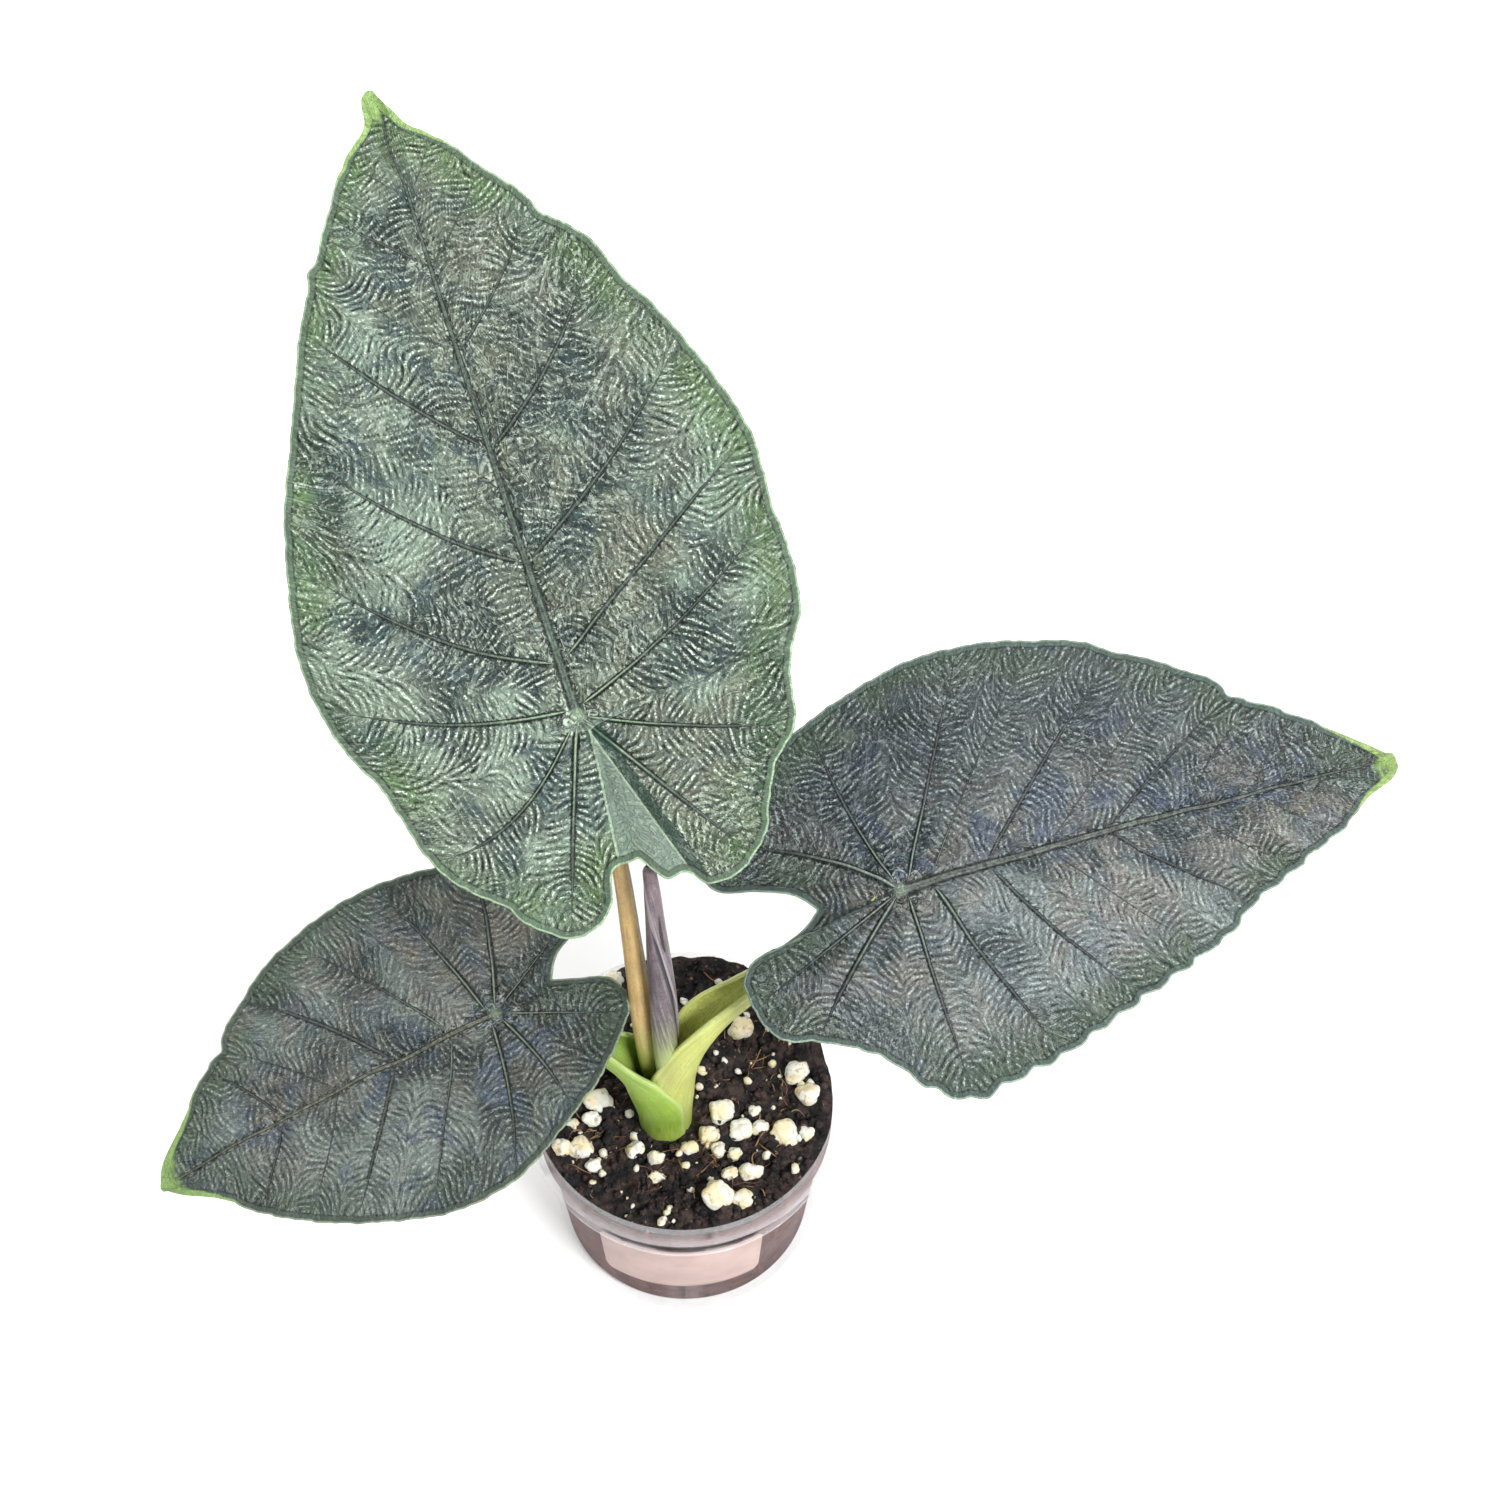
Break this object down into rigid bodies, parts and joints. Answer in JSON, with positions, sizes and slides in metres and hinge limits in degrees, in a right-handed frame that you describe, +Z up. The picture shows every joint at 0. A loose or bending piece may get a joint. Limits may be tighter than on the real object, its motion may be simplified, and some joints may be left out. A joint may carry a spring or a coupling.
{
  "type": "potted velvet alocasia",
  "caption": "Small potted velvet alocasia with broad arrow-shaped quilted leaves on sheathed stalks and a rolled new leaf, in a clear round nursery pot filled with potting mix and perlite.",
  "frame": {"origin": "centre of the pot's flat underside, on the surface it rests on", "axes": "+Z up along the pot's axis; +X to the right and -Y to the front, as in the reference view, with the large leaf leaning back to +Y"},
  "size_m": [0.2179, 0.1417, 0.1802],
  "materials": {
    "pot": "clear moulded, glossy",
    "pot_label": "matt, blank",
    "soil": "moist peat with white perlite",
    "rhizome_and_roots": "matt, fleshy",
    "stalk_large": "smooth, slightly waxy, flecked",
    "blade_large": "rippled velvet with a silvery sheen",
    "stalk_right": "smooth, slightly waxy",
    "blade_right": "rippled velvet with a silvery sheen",
    "stalk_left": "smooth, slightly waxy",
    "blade_left": "rippled velvet with a silvery sheen",
    "new_leaf_rolled": "matt, finely flecked"
  },
  "bodies": {
    "root": {"pot": "pot", "pot_label": "pot_label", "soil": "soil", "rhizome_and_roots": "rhizome_and_roots", "stalk_large": "stalk_large", "blade_large": "blade_large", "stalk_right": "stalk_right", "blade_right": "blade_right", "stalk_left": "stalk_left", "blade_left": "blade_left", "new_leaf_rolled": "new_leaf_rolled"}
  },
  "joints": []
}
